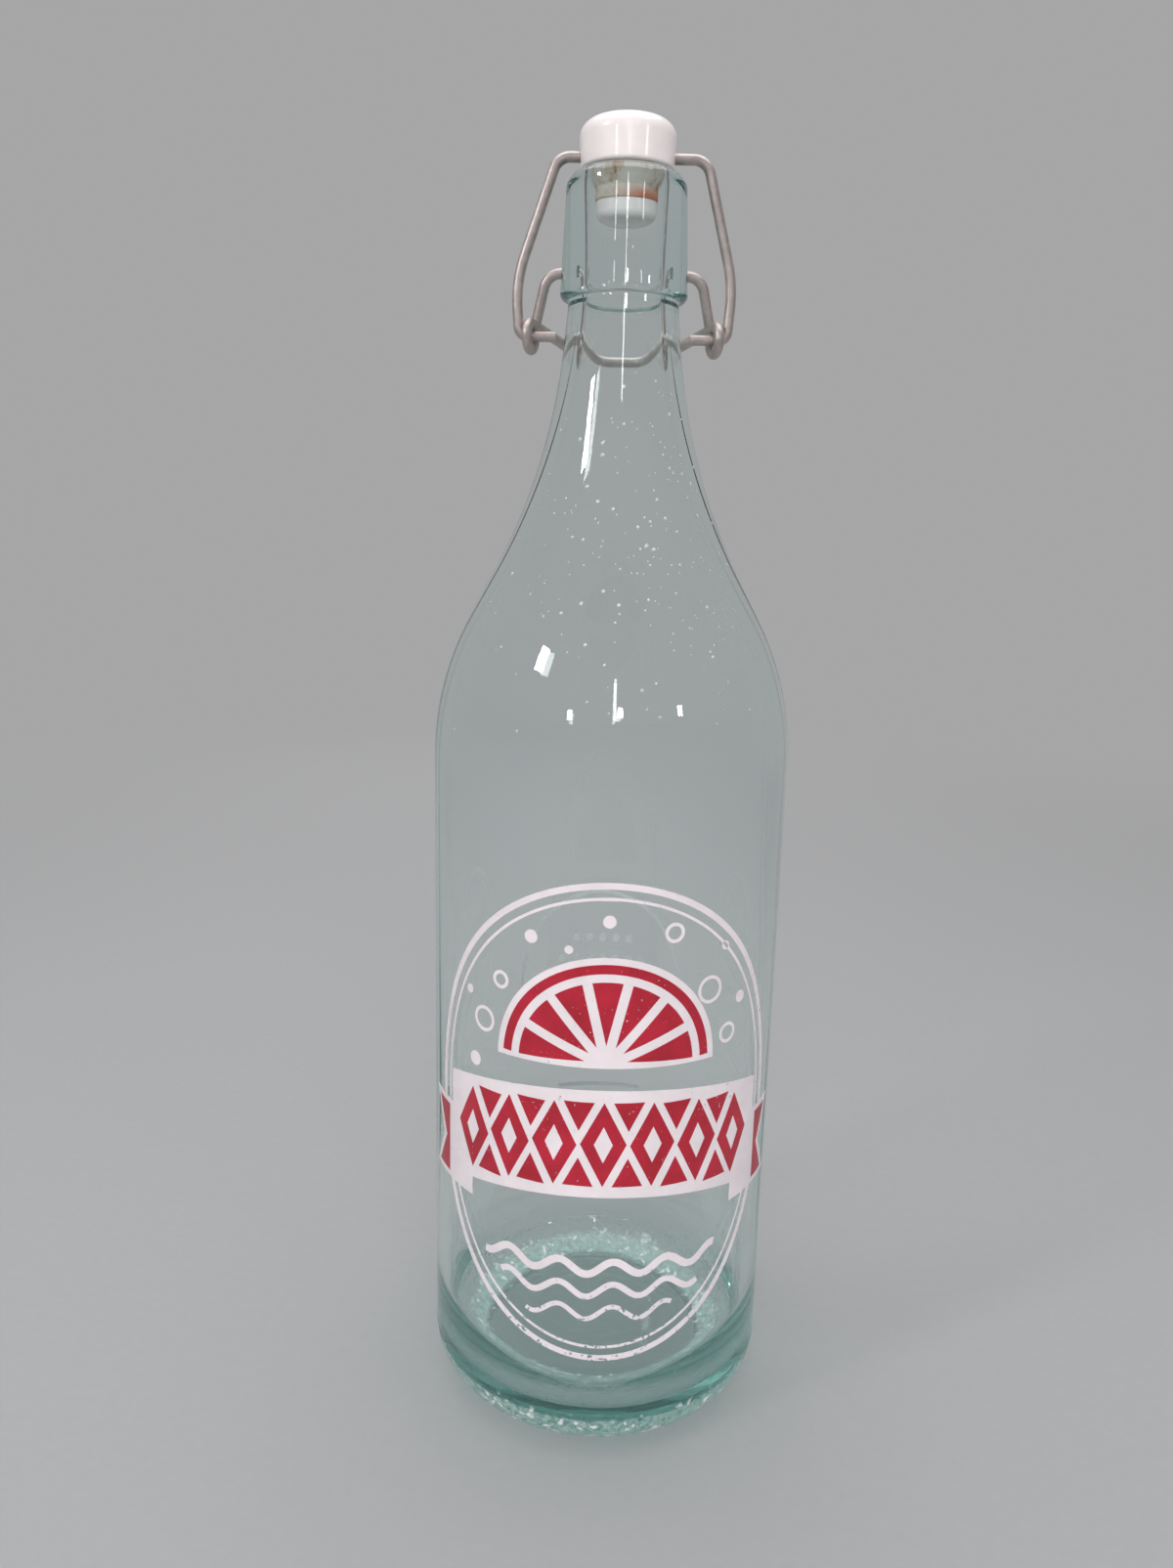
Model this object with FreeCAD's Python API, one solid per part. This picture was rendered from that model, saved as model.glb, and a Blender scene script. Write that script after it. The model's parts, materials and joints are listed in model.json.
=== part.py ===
# Swing top bottle of one litre: a moulded glass bottle closed by a porcelain stopper with a rubber
# gasket, held down by two bent wires. Millimetres, +Z up, origin at the centre of the base.
# The wires pivot about X, the lever's handle lies behind the neck at +Y.
import FreeCAD, Part
import math
import os

V = FreeCAD.Vector

# Glass body
BODY_DIAMETER = 88.0
BODY_STRAIGHT_HEIGHT = 168.5
BODY_WALL = 3.8
HEEL_RADIUS = 12.0
INNER_HEEL_RADIUS = 9.0
BASE_THICKNESS = 8.0
PUSH_UP_HEIGHT = 5.0
BEARING_RING_INNER_DIAMETER = 58.0

# Shoulder and neck
SHOULDER_RADIUS = 72.0
SHOULDER_ANGLE = 28.5
NECK_SWEEP_RADIUS = 140.0
NECK_DIAMETER = 25.8
NECK_TAPER_ANGLE = 2.4
COLLAR_UNDERSIDE_HEIGHT = 275.3

# Collar, lip and bore
COLLAR_HEIGHT = 27.3
COLLAR_DIAMETER = 29.8
COLLAR_EDGE_RADIUS = 1.6
LIP_DIAMETER = 27.4
LIP_OUTER_RADIUS = 4.0
LIP_INNER_RADIUS = 2.0
BORE_DIAMETER = 17.2
BORE_SWEEP_RADIUS = 150.0

# Stopper
HEAD_DIAMETER = 22.4
HEAD_FOOT_DIAMETER = 21.3
HEAD_HEIGHT = 10.6
HEAD_CROWN = 0.5
HEAD_TOP_RADIUS = 3.6
HEAD_FOOT_RADIUS = 0.8
HEAD_LIFT = 0.5
STEM_DIAMETER = 10.0
GROOVE_HEIGHT = 7.5
NOSE_SIDE_CLEARANCE = 1.7
NOSE_HEIGHT = 4.3
NOSE_CROWN = 0.5
NOSE_RADIUS = 1.8
CROWN_FLAT_SHARE = 0.5
CROWN_BLEND_RADIUS = 20.0
CROSS_HOLE_HEIGHT = 3.0
CROSS_HOLE_CLEARANCE = 0.3

# Gasket
GASKET_STEM_CLEARANCE = 0.05
GASKET_SEAT_CLEARANCE = 0.3
GASKET_FOOT_OVERHANG = 0.2
GASKET_NECK_HEIGHT = 2.8
GASKET_TOP_FLARE = 0.6
GASKET_EDGE_RADIUS = 0.5

# Wires
WIRE_DIAMETER = 2.4
PIVOT_DROP = 21.3
PIVOT_HOLE_DEPTH = 3.0
PIVOT_CLEARANCE = 0.1
PIVOT_END_GAP = 0.3
ARM_CORNER_REACH = 3.2
ARM_BEND_RADIUS = 4.0
EYE_DROP = 14.0
EYE_FORWARD = 0.8
EYE_CLEARANCE = 0.55
EYE_OUTBOARD = 6.6
EYE_TOE_ANGLE = 15.0
HANDLE_BEND_START = 1.2
LEG_BEND_RADIUS = 3.0
HANDLE_FINGER_GAP = 4.9
HANDLE_HALF_WIDTH = 7.5
HANDLE_BEND_RADIUS = 9.0
HANDLE_SLOPE = 17.3
BAIL_SIDE_GAP = 0.3
BAIL_STUB_LENGTH = 4.6
BAIL_FOOT_RADIUS = 2.2
BAIL_BULGE = 0.9
BAIL_BULGE_HEIGHT = 12.0
BAIL_BULGE_RADIUS = 30.0
BAIL_CORNER_RADIUS = 4.0
CROSSBAR_OVERHANG = 5.8
CROSSBAR_SHIFT = 1.2

# Sizes that follow from the ones above
body_radius = BODY_DIAMETER / 2
bore_radius = BORE_DIAMETER / 2
neck_radius = NECK_DIAMETER / 2
collar_radius = COLLAR_DIAMETER / 2
lip_radius = LIP_DIAMETER / 2
wire_radius = WIRE_DIAMETER / 2
lip_top = COLLAR_UNDERSIDE_HEIGHT + COLLAR_HEIGHT
head_foot = lip_top + HEAD_LIFT
nose_radius = bore_radius - NOSE_SIDE_CLEARANCE
groove_foot = head_foot - GROOVE_HEIGHT
crossbar_height = head_foot + CROSS_HOLE_HEIGHT
pivot_height = lip_top - PIVOT_DROP
pivot_wall = collar_radius + (lip_radius - collar_radius) * (1 - PIVOT_DROP / COLLAR_HEIGHT)
eye_radius = 2 * wire_radius + EYE_CLEARANCE
eye_side = collar_radius + EYE_OUTBOARD
eye_height = pivot_height - EYE_DROP
eye_toe = math.radians(EYE_TOE_ANGLE)


# Paths and profiles
def corner_lengths(points, radii):
    """How far each rounded corner reaches along its two runs, kept within the runs."""
    reach = []
    for before, point, after, radius in zip(points, points[1:], points[2:], radii):
        turn = (point - before).getAngle(after - point)
        reach.append(radius * math.tan(turn / 2))
    reach = [0.0] + reach + [0.0]
    runs = [(b - a).Length for a, b in zip(points, points[1:])]
    limits = [run / (reach[i] + reach[i + 1] or run) for i, run in enumerate(runs)]
    for i in range(1, len(points) - 1):
        reach[i] = reach[i] * min(1.0, limits[i - 1], limits[i])
    return reach


def rounded_edges(points, radii):
    """Straight runs through the points, joined by tangent arcs of the given corner radii."""
    reach = corner_lengths(points, radii)
    edges = []
    here = points[0]
    for i in range(1, len(points) - 1):
        back = (points[i - 1] - points[i]).normalize()
        ahead = (points[i + 1] - points[i]).normalize()
        half_turn = (math.pi - back.getAngle(ahead)) / 2
        if reach[i] > 0:
            start = points[i] + back * reach[i]
            end = points[i] + ahead * reach[i]
            to_middle = reach[i] * (1 / math.sin(half_turn) - 1 / math.tan(half_turn))
            middle = points[i] + (back + ahead).normalize() * to_middle
        else:
            start = end = points[i]
        if (start - here).Length > 1e-6:
            edges.append(Part.LineSegment(here, start).toShape())
        if reach[i] > 0:
            edges.append(Part.Arc(start, middle, end).toShape())
        here = end
    if (points[-1] - here).Length > 1e-6:
        edges.append(Part.LineSegment(here, points[-1]).toShape())
    return edges


def outline(corners):
    """Edges in the XZ half plane from (radius, height, corner radius) rows."""
    points = [V(r, 0, z) for r, z, _ in corners]
    return rounded_edges(points, [rounding for _, _, rounding in corners[1:-1]])


def turned(edges):
    """Solid of revolution about Z from a closed half profile."""
    face = Part.Face(Part.Wire(edges))
    return face.revolve(V(0, 0, 0), V(0, 0, 1), 360)


def bent_wire(edges):
    """Round wire along a path of straight runs and tangent arcs."""
    path = Part.Wire(edges)
    first = path.OrderedEdges[0]
    start = path.OrderedVertexes[0].Point
    heading = first.tangentAt(first.FirstParameter)
    section = Part.Wire(Part.makeCircle(wire_radius, start, heading))
    return path.makePipeShell([section], True, False)


def mirrored(points):
    """The same points on the other side of the bottle, in reverse order."""
    return [V(-p.x, p.y, p.z) for p in reversed(points)]


# Glass bottle
def base_arc(height):
    """Push-up of the base: an arc from the bearing ring's inner edge to the axis."""
    edge = V(BEARING_RING_INNER_DIAMETER / 2, 0, height)
    top = V(0, 0, height + PUSH_UP_HEIGHT)
    radius = (edge.x ** 2 + PUSH_UP_HEIGHT ** 2) / (2 * PUSH_UP_HEIGHT)
    half = math.asin(edge.x / radius) / 2
    middle = V(radius * math.sin(half), 0, top.z - radius * (1 - math.cos(half)))
    return edge, middle, top


def glass_bottle():
    slope = math.radians(SHOULDER_ANGLE)
    taper = math.tan(math.radians(NECK_TAPER_ANGLE))
    shoulder_corner = BODY_STRAIGHT_HEIGHT + SHOULDER_RADIUS * math.tan(slope / 2)
    # Where the shoulder's slope and the neck's taper would meet
    drop = (body_radius - neck_radius) - (COLLAR_UNDERSIDE_HEIGHT - shoulder_corner) * taper
    neck_corner = shoulder_corner + drop / (math.tan(slope) - taper)
    neck_corner_radius = body_radius - (neck_corner - shoulder_corner) * math.tan(slope)
    # The inside runs parallel to the outside, one wall away, up to the straight bore
    inner_radius = body_radius - BODY_WALL
    inner_shoulder = shoulder_corner - BODY_WALL * math.tan(slope / 2)
    bore_corner = inner_shoulder + (inner_radius - bore_radius) / math.tan(slope)

    foot_edge, foot_middle, foot_top = base_arc(0.0)
    floor_edge, floor_middle, floor_top = base_arc(BASE_THICKNESS)
    wall = outline([
        (foot_edge.x, 0.0, 0.0),
        (body_radius, 0.0, HEEL_RADIUS),
        (body_radius, shoulder_corner, SHOULDER_RADIUS),
        (neck_corner_radius, neck_corner, NECK_SWEEP_RADIUS),
        (neck_radius, COLLAR_UNDERSIDE_HEIGHT, 0.0),
        (collar_radius, COLLAR_UNDERSIDE_HEIGHT, COLLAR_EDGE_RADIUS),
        (lip_radius, lip_top, LIP_OUTER_RADIUS),
        (bore_radius, lip_top, LIP_INNER_RADIUS),
        (bore_radius, bore_corner, BORE_SWEEP_RADIUS),
        (inner_radius, inner_shoulder, SHOULDER_RADIUS - BODY_WALL),
        (inner_radius, BASE_THICKNESS, INNER_HEEL_RADIUS),
        (floor_edge.x, BASE_THICKNESS, 0.0),
    ])
    floor = Part.Arc(floor_edge, floor_middle, floor_top).toShape()
    axis = Part.LineSegment(floor_top, foot_top).toShape()
    foot = Part.Arc(foot_top, foot_middle, foot_edge).toShape()
    glass = turned(wall + [floor, axis, foot])
    for side in (-1, 1):
        floor_of_hole = V(side * (pivot_wall - PIVOT_HOLE_DEPTH), 0, pivot_height)
        hole = Part.makeCylinder(
            wire_radius + PIVOT_CLEARANCE, 2 * PIVOT_HOLE_DEPTH, floor_of_hole, V(side, 0, 0))
        glass = glass.cut(hole)
    return glass


# Stopper and gasket
def porcelain_stopper():
    head_foot_radius = HEAD_FOOT_DIAMETER / 2
    head_radius = HEAD_DIAMETER / 2
    head_top = head_foot + HEAD_HEIGHT
    nose_foot = groove_foot - NOSE_HEIGHT
    stem_radius = STEM_DIAMETER / 2
    body = outline([
        (0.0, nose_foot, 0.0),
        (nose_radius * CROWN_FLAT_SHARE, nose_foot, CROWN_BLEND_RADIUS),
        (nose_radius, nose_foot + NOSE_CROWN, NOSE_RADIUS),
        (nose_radius, groove_foot, 0.0),
        (stem_radius, groove_foot, 0.0),
        (stem_radius, head_foot, 0.0),
        (head_foot_radius, head_foot, HEAD_FOOT_RADIUS),
        (head_radius, head_top - HEAD_CROWN, HEAD_TOP_RADIUS),
        (head_radius * CROWN_FLAT_SHARE, head_top, CROWN_BLEND_RADIUS),
        (0.0, head_top, 0.0),
    ])
    axis = Part.LineSegment(V(0, 0, head_top), V(0, 0, nose_foot)).toShape()
    hole = Part.makeCylinder(
        wire_radius + CROSS_HOLE_CLEARANCE, 2 * HEAD_DIAMETER,
        V(-HEAD_DIAMETER, 0, crossbar_height), V(1, 0, 0))
    return turned(body + [axis]).cut(hole)


def rubber_gasket():
    inner = STEM_DIAMETER / 2 + GASKET_STEM_CLEARANCE
    foot = nose_radius + GASKET_FOOT_OVERHANG
    neck_top = groove_foot + GASKET_NECK_HEIGHT
    # The flare is closest to the glass where the bore's edge starts to round
    seat = bore_radius - GASKET_SEAT_CLEARANCE
    seat_height = lip_top - LIP_INNER_RADIUS
    ring = outline([
        (inner, groove_foot, 0.0),
        (foot, groove_foot, GASKET_EDGE_RADIUS),
        (foot, neck_top, GASKET_EDGE_RADIUS),
        (seat, seat_height, GASKET_EDGE_RADIUS),
        (seat + GASKET_TOP_FLARE, head_foot, GASKET_EDGE_RADIUS),
        (inner, head_foot, 0.0),
    ])
    bore = Part.LineSegment(V(inner, 0, head_foot), V(inner, 0, groove_foot)).toShape()
    return turned(ring + [bore])


# Lever: two arms with pivot ends, two eyes and one handle behind the neck
def eye_point(angle):
    """Point on the right eye's centre line, angle in degrees from its back upwards."""
    turn = math.radians(angle)
    along = eye_radius * math.cos(turn)
    rise = eye_radius * math.sin(turn)
    return V(eye_side, -EYE_FORWARD, eye_height + rise) + eye_back() * along


def eye_back():
    """Direction from the front to the back of the right eye, which is toed in."""
    return V(-math.sin(eye_toe), math.cos(eye_toe), 0)


def lever_arm(side):
    """Pivot end, arm and the eye's back half, down to the eye's lowest point."""
    tip = V(pivot_wall - PIVOT_HOLE_DEPTH + PIVOT_END_GAP, 0, pivot_height)
    corner = V(pivot_wall + ARM_CORNER_REACH, 0, pivot_height)
    # Angle at which a line from the pivot, seen from the side, touches the eye
    ahead = EYE_FORWARD / math.cos(eye_toe)
    touch = math.asin(eye_radius / math.hypot(ahead, EYE_DROP)) - math.atan2(ahead, EYE_DROP)
    meet = eye_point(math.degrees(touch))
    heading = eye_back() * math.sin(touch) - V(0, 0, math.cos(touch))
    bend = meet - heading * wire_radius
    edges = rounded_edges([tip, corner, bend, meet], [ARM_BEND_RADIUS, ARM_BEND_RADIUS])
    back = eye_point((math.degrees(touch) - 90) / 2)
    edges.append(Part.Arc(meet, back, eye_point(-90)).toShape())
    arm = bent_wire(edges)
    if side < 0:
        arm = arm.mirror(V(0, 0, 0), V(1, 0, 0))
    return arm


def lever_handle():
    """Front halves of both eyes and the handle that joins them behind the neck."""
    low, front, top = eye_point(-90), eye_point(180), eye_point(90)
    leave = top + eye_back() * HANDLE_BEND_START
    back = neck_radius + HANDLE_FINGER_GAP + wire_radius
    fall = (back - leave.y) * math.tan(math.radians(HANDLE_SLOPE))
    handle_corner = V(HANDLE_HALF_WIDTH, back, leave.z - fall)
    right = [top, leave, handle_corner]
    radii = [LEG_BEND_RADIUS, HANDLE_BEND_RADIUS]
    middle = rounded_edges(right + mirrored(right), radii + radii[::-1])
    right_eye = Part.Arc(low, front, top).toShape()
    left_eye = Part.Arc(*mirrored([low, front, top])).toShape()
    return bent_wire([right_eye] + middle + [left_eye])


def lever_wire():
    return lever_handle().fuse([lever_arm(-1), lever_arm(1)])


# Bail: crossbar through the stopper, arms beside the collar, ends through the lever's eyes
def bail_wire():
    rise = V(0, EYE_FORWARD, crossbar_height - eye_height)
    length = rise.Length
    up = rise.normalize()
    foot = V(0, -EYE_FORWARD, eye_height)
    arm_side = eye_side + 2 * wire_radius + BAIL_SIDE_GAP
    corner_side = HEAD_DIAMETER / 2 + CROSSBAR_OVERHANG
    stub_side = eye_side - wire_radius - BAIL_STUB_LENGTH

    def place(side, height):
        return foot + V(side, 0, 0) + up * height

    points = [
        place(stub_side, 0),
        place(arm_side, 0),
        place(arm_side + BAIL_BULGE, BAIL_BULGE_HEIGHT),
        place(corner_side + CROSSBAR_SHIFT, length),
        place(-corner_side + CROSSBAR_SHIFT, length),
        place(-arm_side - BAIL_BULGE, BAIL_BULGE_HEIGHT),
        place(-arm_side, 0),
        place(-stub_side, 0),
    ]
    radii = [BAIL_FOOT_RADIUS, BAIL_BULGE_RADIUS, BAIL_CORNER_RADIUS]
    return bent_wire(rounded_edges(points, radii + radii[::-1]))


NODES = {
    "glass_bottle": glass_bottle,
    "porcelain_stopper": porcelain_stopper,
    "rubber_gasket": rubber_gasket,
    "bail_wire": bail_wire,
    "lever_wire": lever_wire,
}

os.makedirs("parts", exist_ok=True)
for name, make in NODES.items():
    shape = make()
    shape.exportStep("parts/" + name + ".step")
    print(name, "solids", len(shape.Solids), "volume", round(shape.Volume, 1), "valid", shape.isValid())
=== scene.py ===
# %% [markdown]
# # A swing top bottle, dressed in Blender
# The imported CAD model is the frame: five solids that already have the right size and place. This script
# gives them the finish of the real thing: moulded aqua glass, fired enamel print, glazed porcelain, old
# rubber and dull galvanised wire. Lengths on the bottle are in millimetres and are turned into metres by
# MM. The stage and its lights are in metres.

# %% Load the frame
import bmesh
import bpy
import json
import math
import random
from mathutils import Matrix, Vector, noise

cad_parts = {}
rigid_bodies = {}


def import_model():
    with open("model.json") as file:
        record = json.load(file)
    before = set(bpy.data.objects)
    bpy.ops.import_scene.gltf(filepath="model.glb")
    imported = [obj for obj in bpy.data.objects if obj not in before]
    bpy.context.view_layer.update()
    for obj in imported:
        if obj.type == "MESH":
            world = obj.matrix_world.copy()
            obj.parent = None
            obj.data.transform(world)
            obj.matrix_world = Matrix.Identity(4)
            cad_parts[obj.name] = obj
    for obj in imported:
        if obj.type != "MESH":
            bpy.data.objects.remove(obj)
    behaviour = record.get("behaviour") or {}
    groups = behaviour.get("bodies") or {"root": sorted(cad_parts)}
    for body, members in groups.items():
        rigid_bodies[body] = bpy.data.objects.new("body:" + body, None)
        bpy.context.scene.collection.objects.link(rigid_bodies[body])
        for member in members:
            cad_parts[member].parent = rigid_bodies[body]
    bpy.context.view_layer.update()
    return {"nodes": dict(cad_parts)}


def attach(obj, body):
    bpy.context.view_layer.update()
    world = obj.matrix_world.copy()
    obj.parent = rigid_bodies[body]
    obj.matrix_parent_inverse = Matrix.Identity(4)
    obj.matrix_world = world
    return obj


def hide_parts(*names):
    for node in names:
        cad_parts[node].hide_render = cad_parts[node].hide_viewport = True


for leftover in list(bpy.data.objects):
    bpy.data.objects.remove(leftover)
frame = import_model()
MM = 0.001

# %% [markdown]
# ## Camera
# The photograph was taken close up with a wide phone lens, a little above the middle of the bottle and
# tipped down. A long lens from far away would flatten the heel's curve and show a different outline, so
# the camera stands where the phone stood, with its focal length, its tilt and its slight roll.

# %% Camera at the photograph's place
LENS = 26.35
SENSOR = 36.0
CAMERA_PLACE = Vector((-5.9, -284.9, 222.1)) * MM
CAMERA_TILT = math.radians(12.2)
CAMERA_ROLL = math.radians(1.4)
NEAREST_SEEN = 0.01

camera_data = bpy.data.cameras.new("photo_camera")
camera_data.sensor_fit = "VERTICAL"
camera_data.sensor_height = SENSOR
camera_data.lens = LENS
camera_data.clip_start = NEAREST_SEEN
camera = bpy.data.objects.new("photo_camera", camera_data)
bpy.context.scene.collection.objects.link(camera)
aim = Matrix.Rotation(math.pi / 2 - CAMERA_TILT, 4, "X") @ Matrix.Rotation(CAMERA_ROLL, 4, "Z")
camera.matrix_world = Matrix.Translation(CAMERA_PLACE) @ aim
bpy.context.scene.camera = camera
print("camera", tuple(round(v, 3) for v in camera.location), "lens", LENS)

# %% [markdown]
# ## Helpers
# Materials are node trees. One function adds a node, sets its plain inputs and links the others. Colours
# are written as sRGB hex, the way a colour picker shows them, and turned to linear light here.


# %% Colour, node and object helpers
def linear(hex_colour):
    """Linear RGBA of an sRGB hex colour."""
    channels = [int(hex_colour[i:i + 2], 16) / 255 for i in (1, 3, 5)]
    light = [c / 12.92 if c <= 0.04045 else ((c + 0.055) / 1.055) ** 2.4 for c in channels]
    return (*light, 1.0)


def add(tree, kind, inputs=None, stops=(), **settings):
    """Adds a node. A socket among the inputs is linked, anything else is set as a value. An input is given
    by its number or its name. Stops are a colour ramp's (place, hex colour) pairs."""
    node = tree.nodes.new(kind)
    for name, value in settings.items():
        setattr(node, name, value)
    for key, value in (inputs or {}).items():
        by_number = isinstance(key, int)
        sockets = [node.inputs[key]] if by_number else [i for i in node.inputs if i.name == key]
        socket = next((i for i in sockets if i.enabled), sockets[0])
        if isinstance(value, bpy.types.NodeSocket):
            tree.links.new(value, socket)
        else:
            socket.default_value = value
    for i, (place, colour) in enumerate(stops):
        row = node.color_ramp.elements
        element = row[i] if i < len(row) else row.new(place)
        element.position = place
        element.color = linear(colour)
    return node


def new_material(name):
    """An empty node material, its tree and its output node."""
    material = bpy.data.materials.new(name)
    material.use_nodes = True
    tree = material.node_tree
    tree.nodes.clear()
    return material, tree, tree.nodes.new("ShaderNodeOutputMaterial")


def link_object(name, data):
    """Puts a mesh, a curve or a light in the scene."""
    thing = bpy.data.objects.new(name, data)
    bpy.context.scene.collection.objects.link(thing)
    return thing


def dress(thing, material):
    """Gives an object one material in place of those it had."""
    thing.data.materials.clear()
    thing.data.materials.append(material)


def per_mm(size):
    """Texture scale whose cells are about this many millimetres wide."""
    return 1 / (size * MM)


print("helpers ready")

# %% [markdown]
# ## Stage and light
# Clear glass is seen by what it bends and mirrors, so the stage matters as much as the glass. The floor is
# pale paper: matt, with a faint mottle of fibres. A few hand's breadths out it fades into the same even
# grey that the air shows, so no horizon and no edge of a backdrop crosses the glass, from whichever side it
# is looked at. The fade is seen but gives no light. A large soft panel overhead lights the bottle evenly,
# and small lamps in front draw the bright streaks on neck and collar. Two fills only brighten the side that
# they face, so glass and metal don't show them.

# %% Endless paper floor
FLOOR_REACH = 14.0
FLOOR_SIDES = 96
FADE_START, FADE_END = 0.30, 1.10
PAPER = "#A2A2A3"
PAPER_FIBRE = 3.0
BACKDROP, ROOM = "#A6A6A7", "#8E9294"
ROOM_UNTIL, BACKDROP_FROM = -0.1, 0.7


def seen_rays(tree):
    """Socket that is 1 for rays that show a thing and 0 for rays that only carry its light."""
    ray = add(tree, "ShaderNodeLightPath")
    mirror = add(tree, "ShaderNodeMath", {0: ray.outputs["Is Camera Ray"], 1: ray.outputs["Is Glossy Ray"]},
                 operation="MAXIMUM")
    lens = add(tree, "ShaderNodeMath", {0: mirror.outputs["Value"], 1: ray.outputs["Is Transmission Ray"]},
               operation="MAXIMUM")
    return lens.outputs["Value"]


def surroundings(tree, outward):
    """Colour of the far distance: the backdrop behind the bottle, a dimmer room at its sides and front."""
    direction = add(tree, "ShaderNodeVectorMath", {0: outward}, operation="NORMALIZE")
    axes = add(tree, "ShaderNodeSeparateXYZ", {"Vector": direction.outputs["Vector"]})
    behind = add(tree, "ShaderNodeMapRange", {"Value": axes.outputs["Y"], "From Min": ROOM_UNTIL,
                                              "From Max": BACKDROP_FROM}, interpolation_type="SMOOTHSTEP")
    colour = add(tree, "ShaderNodeMix", {"Factor": behind.outputs["Result"], "A": linear(ROOM),
                                         "B": linear(BACKDROP)}, data_type="RGBA")
    return colour.outputs[2]


floor_mesh = bpy.data.meshes.new("paper_floor")
bm = bmesh.new()
bmesh.ops.create_circle(bm, cap_ends=True, segments=FLOOR_SIDES, radius=FLOOR_REACH)
bm.to_mesh(floor_mesh)
bm.free()

paper, tree, out = new_material("matt_paper")
coords = add(tree, "ShaderNodeTexCoord").outputs["Object"]
fibre = add(tree, "ShaderNodeTexNoise", {"Vector": coords, "Scale": per_mm(PAPER_FIBRE), "Detail": 4.0})
tone = add(tree, "ShaderNodeMapRange", {"Value": fibre.outputs["Fac"], "To Min": 0.97, "To Max": 1.03})
tint = add(tree, "ShaderNodeVectorMath", {0: linear(PAPER)[:3], "Scale": tone.outputs["Result"]},
           operation="SCALE")
sheet = add(tree, "ShaderNodeBsdfPrincipled", {"Base Color": tint.outputs["Vector"], "Roughness": 0.9})
away = add(tree, "ShaderNodeVectorMath", {0: coords}, operation="LENGTH")
fade = add(tree, "ShaderNodeMapRange", {"Value": away.outputs["Value"], "From Min": FADE_START,
                                        "From Max": FADE_END}, interpolation_type="SMOOTHSTEP")
faded = add(tree, "ShaderNodeMath", {0: fade.outputs["Result"], 1: seen_rays(tree)}, operation="MULTIPLY")
distant = add(tree, "ShaderNodeEmission", {"Color": surroundings(tree, coords)})
surface = add(tree, "ShaderNodeMixShader", {"Fac": faded.outputs["Value"], 1: sheet.outputs["BSDF"],
                                            2: distant.outputs["Emission"]})
tree.links.new(surface.outputs["Shader"], out.inputs["Surface"])
floor = link_object("paper_floor", floor_mesh)
dress(floor, paper)
print("floor", FLOOR_REACH, "m from its middle to its edge")

# %% Lights
AIM = Vector((0.0, 0.0, 0.2))
ROOM_LAMPS = [(-0.80, -1.5, 0.66), (0.12, -1.6, 0.70), (1.15, -1.2, 0.68)]


def panel(name, place, size, power):
    """Rectangular soft light aimed at the bottle, lengths in metres, power in watts."""
    data = bpy.data.lights.new(name, "AREA")
    data.shape = "RECTANGLE"
    data.size, data.size_y = size
    data.energy = power
    light = link_object(name, data)
    light.location = place
    light.rotation_euler = (AIM - Vector(place)).to_track_quat("-Z", "Y").to_euler()
    light.visible_camera = False
    return light


overhead = panel("overhead_panel", place=(0.0, 0.1, 1.35), size=(1.5, 1.1), power=11.0)
overhead.visible_transmission = False
panel("left_window", place=(-0.62, -0.42, 0.66), size=(0.10, 0.14), power=1.4)
for number, lamp_place in enumerate(ROOM_LAMPS):
    panel(f"room_lamp_{number}", place=lamp_place, size=(0.09, 0.12), power=0.8)
panel("room_doorway", place=(0.03, -1.6, 0.86), size=(0.05, 0.50), power=0.9)
front_fill = panel("front_fill", place=(0.10, -1.25, 0.85), size=(0.9, 0.6), power=9.0)
back_fill = panel("back_fill", place=(-0.20, 1.30, 0.36), size=(0.9, 0.6), power=5.0)
for fill in (front_fill, back_fill):
    fill.visible_glossy = False
    fill.visible_transmission = False

# %% Air and light paths
# Light that runs round inside a glass heel bounces many times before it leaves it, so paths may be long.
AIR = "#B6B7B8"
AIR_STRENGTH = 0.7

world = bpy.data.worlds.new("studio_air")
bpy.context.scene.world = world
world.use_nodes = True
tree = world.node_tree
tree.nodes.clear()
air = add(tree, "ShaderNodeBackground", {"Color": linear(AIR), "Strength": AIR_STRENGTH})
view = add(tree, "ShaderNodeTexCoord").outputs["Generated"]
shown = add(tree, "ShaderNodeBackground", {"Color": surroundings(tree, view)})
sky = add(tree, "ShaderNodeMixShader", {"Fac": seen_rays(tree), 1: air.outputs["Background"],
                                        2: shown.outputs["Background"]})
add(tree, "ShaderNodeOutputWorld", {"Surface": sky.outputs["Shader"]})
bpy.context.scene.view_settings.view_transform = "Standard"
paths = bpy.context.scene.cycles
paths.max_bounces = 28
paths.glossy_bounces = 16
paths.transmission_bounces = 28
paths.transparent_max_bounces = 24
print("air", AIR, "longest path", paths.max_bounces, "bounces")

# %% [markdown]
# ## Glass bottle
# The bottle was blown in a two-part iron mould. Its outside copies the mould, its inside only follows the
# air, so the wall is uneven and thickens towards the heel, which is what makes old glass look alive. The
# CAD solid has the exact shape but flat-sided facets and a perfect wall, which refraction shows at once.
# So the same outline is turned again here as a dense lathe mesh, with the mould's seams, a hammered heel
# and a wandering inner wall, and stands in for the CAD solid. The inner heel is thicker and the base
# flatter than in the solid, because that long way through glass makes the emerald heel.

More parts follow.
